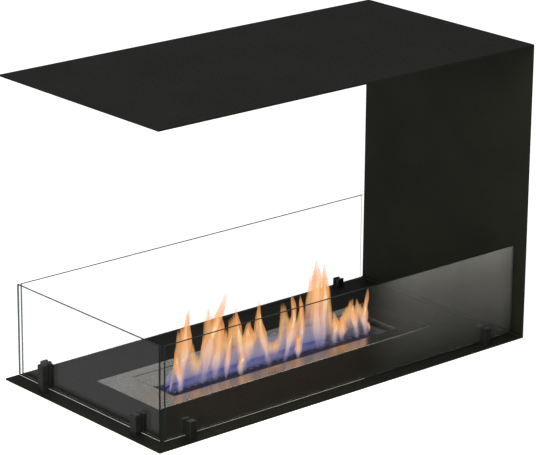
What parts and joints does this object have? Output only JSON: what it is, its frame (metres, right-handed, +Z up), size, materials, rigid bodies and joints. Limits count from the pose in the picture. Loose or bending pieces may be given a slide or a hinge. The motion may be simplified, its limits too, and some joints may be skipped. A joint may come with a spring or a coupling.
{
  "type": "bioethanol fireplace",
  "caption": "Room-divider bioethanol fireplace: black steel casing open on three sides, low glass screens in clips, and a drop-in burner with a sliding lid.",
  "frame": {"origin": "centre of the base plate's underside, level with the top of the plinth that it lies on, over the plinth's opening", "axes": "+X along the length to the closed end with the side panel, +Y to the rear, +Z up"},
  "size_m": [0.8, 0.405, 0.575],
  "materials": {
    "black_powder_coat": "fine matte black powder coat on 3 mm steel",
    "clear_glass": "clear toughened glass with ground arrises",
    "clip_black": "black coated milled block with chamfered edges",
    "liner_rubber": "dark heat-resistant silicone",
    "screw_black": "black oxide steel",
    "brushed_steel": "stainless sheet brushed along its length",
    "tank_steel": "mill-finish stainless sheet, slightly heat tinted",
    "ceramic_wool": "white ceramic fibre pad"
  },
  "bodies": {
    "casing": {"base_plate": "black_powder_coat", "side_panel": "black_powder_coat", "top_panel": "black_powder_coat", "lower_weld": "black_powder_coat", "upper_weld": "black_powder_coat", "clip_front_left": "clip_black", "clip_front_right": "clip_black", "clip_left_front": "clip_black", "clip_left_rear": "clip_black", "clip_rear_left": "clip_black", "clip_rear_right": "clip_black", "clip_liner_front_left": "liner_rubber", "clip_liner_front_right": "liner_rubber", "clip_liner_left_front": "liner_rubber", "clip_liner_left_rear": "liner_rubber", "clip_liner_rear_left": "liner_rubber", "clip_liner_rear_right": "liner_rubber", "clip_screw_front_left": "screw_black", "clip_screw_front_right": "screw_black", "clip_screw_left_front": "screw_black", "clip_screw_left_rear": "screw_black", "clip_screw_rear_left": "screw_black", "clip_screw_rear_right": "screw_black"},
    "front_screen": {"front_glass": "clear_glass"},
    "left_screen": {"left_glass": "clear_glass"},
    "rear_screen": {"rear_glass": "clear_glass"},
    "burner": {"burner_flange": "brushed_steel", "burner_tray": "tank_steel", "fuel_tank": "tank_steel", "tank_spacer_left": "tank_steel", "tank_spacer_right": "tank_steel", "flame_grille": "tank_steel", "lid_deck": "tank_steel", "lid_runner_left": "tank_steel", "lid_runner_right": "tank_steel", "wool_pad_1": "ceramic_wool", "wool_pad_2": "ceramic_wool", "wool_pad_3": "ceramic_wool"},
    "lid": {"burner_lid": "brushed_steel"}
  },
  "joints": [
    {"name": "lid_slide", "type": "slide", "parent": "burner", "child": "lid", "axis": [0, -1, 0], "range_m": [0, 0.053]},
    {"name": "burner_lift", "type": "slide", "parent": "casing", "child": "burner", "axis": [0, 0, 1], "range_m": [0, 0.07]},
    {"name": "front_screen_lift", "type": "slide", "parent": "casing", "child": "front_screen", "axis": [0, 0, 1], "range_m": [0, 0.06]},
    {"name": "left_screen_lift", "type": "slide", "parent": "casing", "child": "left_screen", "axis": [0, 0, 1], "range_m": [0, 0.06]},
    {"name": "rear_screen_lift", "type": "slide", "parent": "casing", "child": "rear_screen", "axis": [0, 0, 1], "range_m": [0, 0.06]}
  ]
}
